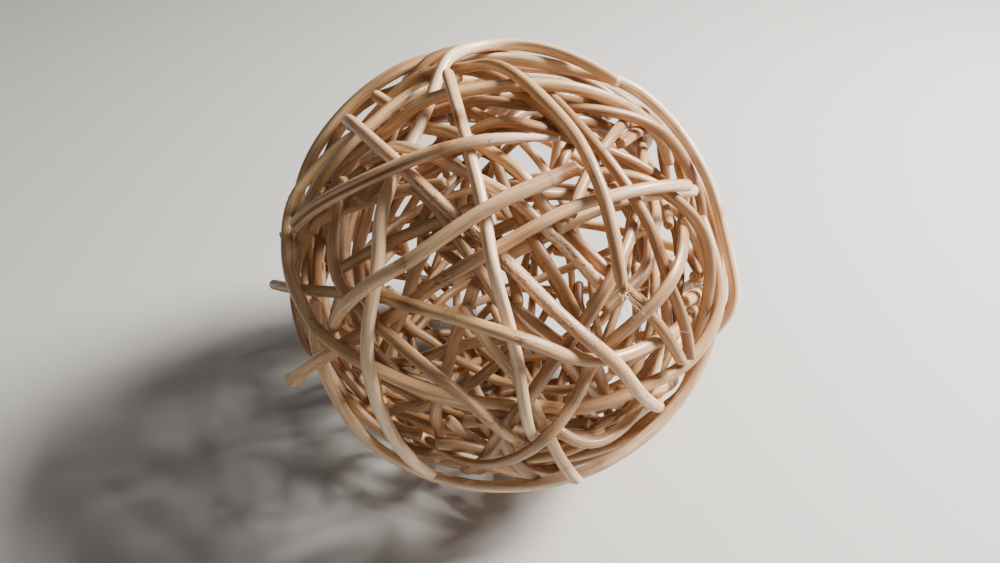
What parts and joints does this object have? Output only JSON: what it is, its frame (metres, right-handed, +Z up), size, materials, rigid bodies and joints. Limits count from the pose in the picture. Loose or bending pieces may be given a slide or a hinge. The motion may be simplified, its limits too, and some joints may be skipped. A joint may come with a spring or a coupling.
{
  "type": "decorative woven ball",
  "caption": "Hollow open ball woven at random from peeled willow rods that pass over and under one another, with cut rod ends showing.",
  "frame": {"origin": "middle of the ball's plan, at the flat spot it stands on", "axes": "+Z up, -Y towards the ball's front, +X to the right seen from the front"},
  "size_m": [0.1202, 0.1184, 0.1168],
  "materials": {
    "pale_peeled_willow": "peeled and dried, satin, pale straw",
    "honey_willow": "peeled and dried, satin, honey brown",
    "brown_willow": "peeled and darkened, matt, reddish brown",
    "flecked_willow": "peeled, satin, with flecks of dark bark left on"
  },
  "bodies": {
    "root": {"upright_rod": "pale_peeled_willow", "broad_slanting_rod": "pale_peeled_willow", "long_slanting_rod": "pale_peeled_willow", "split_rod": "pale_peeled_willow", "flecked_rod": "flecked_willow", "level_rod": "honey_willow", "splintered_rod": "honey_willow", "crown_and_side_hoop": "pale_peeled_willow", "left_hoop": "honey_willow", "lower_left_rod": "honey_willow", "cross_front_rod": "pale_peeled_willow", "right_slanting_rod": "brown_willow", "flat_right_rod": "brown_willow", "lower_right_hoop": "brown_willow", "scooping_rod": "honey_willow", "foot_hoop": "pale_peeled_willow", "right_hoop": "pale_peeled_willow", "upper_hoop": "honey_willow", "right_inner_rod": "brown_willow", "right_edge_rod": "brown_willow", "right_back_rod": "brown_willow", "short_light_rod": "pale_peeled_willow", "right_low_rod": "brown_willow", "inner_front_rod": "brown_willow", "deep_front_rod": "brown_willow", "brown_left_rod": "brown_willow", "lower_brown_rod": "brown_willow", "upper_left_rod": "honey_willow", "bottom_end_rod": "pale_peeled_willow", "left_outer_rod": "honey_willow", "left_end_rod": "honey_willow", "lower_left_edge_rod": "honey_willow", "middle_foot_rod": "honey_willow", "front_foot_rod": "honey_willow", "back_foot_rod": "honey_willow", "woven_rod_01": "honey_willow", "woven_rod_02": "pale_peeled_willow", "woven_rod_03": "honey_willow", "woven_rod_04": "brown_willow", "woven_rod_05": "honey_willow", "woven_rod_06": "pale_peeled_willow", "woven_rod_07": "honey_willow", "woven_rod_08": "brown_willow", "woven_rod_09": "honey_willow", "woven_rod_10": "pale_peeled_willow", "woven_rod_11": "honey_willow", "woven_rod_12": "brown_willow", "woven_rod_13": "honey_willow", "woven_rod_14": "pale_peeled_willow", "woven_rod_15": "honey_willow", "woven_rod_16": "brown_willow", "woven_rod_17": "honey_willow", "woven_rod_18": "pale_peeled_willow", "woven_rod_19": "honey_willow", "woven_rod_20": "brown_willow", "woven_rod_21": "honey_willow", "woven_rod_22": "pale_peeled_willow", "woven_rod_23": "honey_willow", "woven_rod_24": "brown_willow"}
  },
  "joints": []
}
